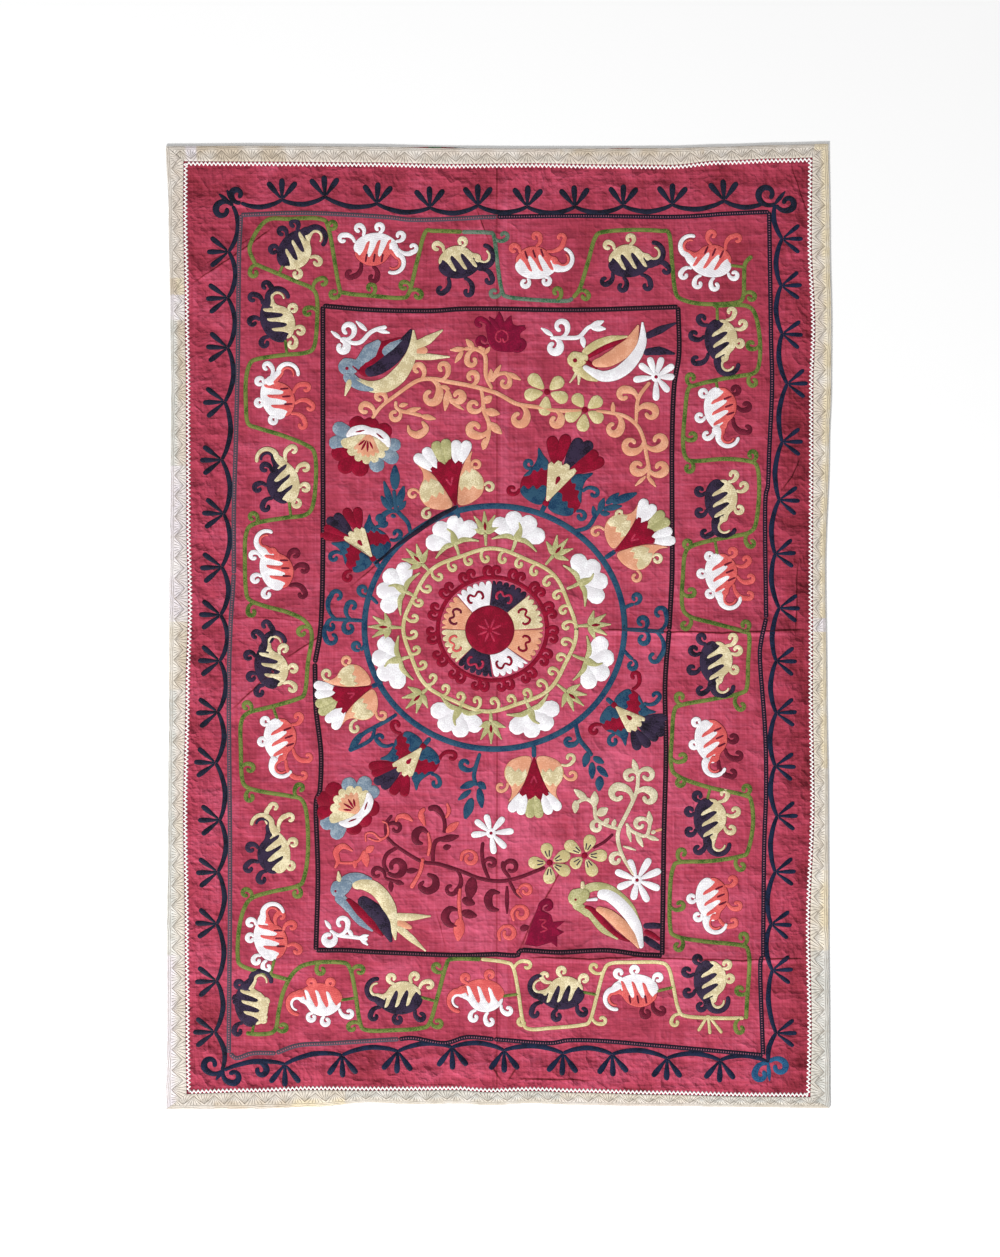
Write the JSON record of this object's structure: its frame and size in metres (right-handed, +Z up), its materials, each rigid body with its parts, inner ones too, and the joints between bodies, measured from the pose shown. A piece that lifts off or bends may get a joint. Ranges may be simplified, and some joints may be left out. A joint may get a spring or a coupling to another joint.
{
  "type": "silk embroidered suzani hanging, laid flat",
  "caption": "Red cotton cover embroidered in silk with a round medallion, birds, paisleys and vines, edged with a quilted border and zigzag braid, lying flat and face up.",
  "frame": {"origin": "on the floor, under the middle of the cloth's widest outline", "axes": "+Y towards the top edge, +X to the right seen from the embroidered face, +Z up out of that face"},
  "size_m": [1.6625, 2.4124, 0.0088],
  "materials": {
    "red_cloth": "rose red cotton, uneven dye, densely embroidered in coloured silk",
    "silk_thread": "silk embroidery in chain and satin stitch, soft sheen",
    "quilted_border": "cream cotton, machine quilted in zigzags",
    "white_braid": "white cotton zigzag braid",
    "striped_lining": "woven cotton lining, striped in red, cream, green and black"
  },
  "bodies": {
    "root": {"lining": "striped_lining", "ground_left": "red_cloth", "ground_right": "red_cloth", "border_top": "quilted_border", "border_bottom": "quilted_border", "border_left": "quilted_border", "border_right": "quilted_border", "braid_top": "white_braid", "braid_bottom": "white_braid", "braid_left": "white_braid", "braid_right": "white_braid"}
  },
  "joints": []
}
